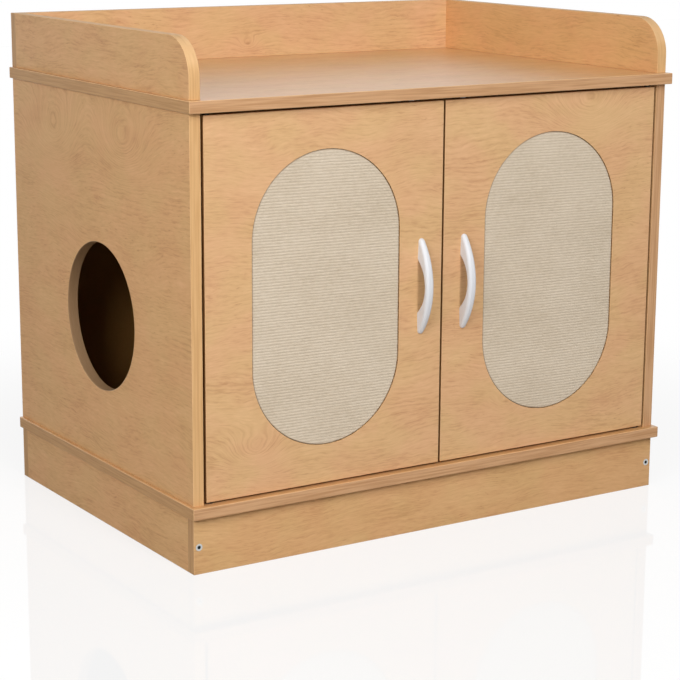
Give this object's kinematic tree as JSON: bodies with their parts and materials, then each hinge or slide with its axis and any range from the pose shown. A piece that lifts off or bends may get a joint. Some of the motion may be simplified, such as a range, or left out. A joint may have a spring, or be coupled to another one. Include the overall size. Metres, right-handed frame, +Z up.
{
  "type": "cat litter box cabinet",
  "caption": "Wooden pet cabinet on a plinth with a round side entrance, paired hinged doors with oval scratch pads and bow handles, and a low gallery round the top.",
  "frame": {"origin": "bottom centre of the cabinet's bounding box, on the floor", "axes": "+X to the right seen from the front, +Y to the back, +Z up"},
  "size_m": [0.8, 0.5756, 0.707],
  "materials": {
    "carcass_board": "maple laminate, satin",
    "door_board": "maple laminate, satin",
    "hardboard": "brown hardboard",
    "beech": "bare beech",
    "sisal": "ribbed sisal weave",
    "handle": "satin white",
    "steel": "zinc plated",
    "zinc": "die cast",
    "brown_plastic": "dark brown"
  },
  "bodies": {
    "carcass": {"bottom_panel": "carcass_board", "top_panel": "carcass_board", "left_side_panel": "carcass_board", "right_side_panel": "carcass_board", "back_panel": "hardboard", "back_panel_nails": "steel", "carcass_dowels": "beech", "cam_locks": "zinc", "cam_bolts": "steel", "plinth_front": "carcass_board", "plinth_back": "carcass_board", "plinth_left": "carcass_board", "plinth_right": "carcass_board", "plinth_screws": "steel", "bracket_screws": "steel", "plinth_brackets": "steel", "gallery_back": "carcass_board", "gallery_left": "carcass_board", "gallery_right": "carcass_board", "gallery_dowels": "beech", "gallery_corner_screws": "steel", "gallery_base_screws": "steel", "left_top_pivot_bush": "brown_plastic", "left_bottom_pivot_bush": "brown_plastic", "left_catch_body": "brown_plastic", "left_catch_magnet": "steel", "left_catch_screws": "steel", "right_top_pivot_bush": "brown_plastic", "right_bottom_pivot_bush": "brown_plastic", "right_catch_body": "brown_plastic", "right_catch_magnet": "steel", "right_catch_screws": "steel"},
    "left_door_leaf": {"left_door": "door_board", "left_scratch_pad": "sisal", "left_handle": "handle", "left_handle_screws": "steel", "left_top_pivot_pin": "steel", "left_bottom_pivot_pin": "steel", "left_strike_plate": "steel", "left_strike_screw": "steel"},
    "right_door_leaf": {"right_door": "door_board", "right_scratch_pad": "sisal", "right_handle": "handle", "right_handle_screws": "steel", "right_top_pivot_pin": "steel", "right_bottom_pivot_pin": "steel", "right_strike_plate": "steel", "right_strike_screw": "steel"}
  },
  "joints": [
    {"name": "left_door_hinge", "type": "hinge", "parent": "carcass", "child": "left_door_leaf", "pos_m": [-0.367, -0.2548, 0.3525], "axis": [0, 0, -1], "range_deg": [0, 110]},
    {"name": "right_door_hinge", "type": "hinge", "parent": "carcass", "child": "right_door_leaf", "pos_m": [0.367, -0.2548, 0.3525], "axis": [0, 0, 1], "range_deg": [0, 110]}
  ]
}
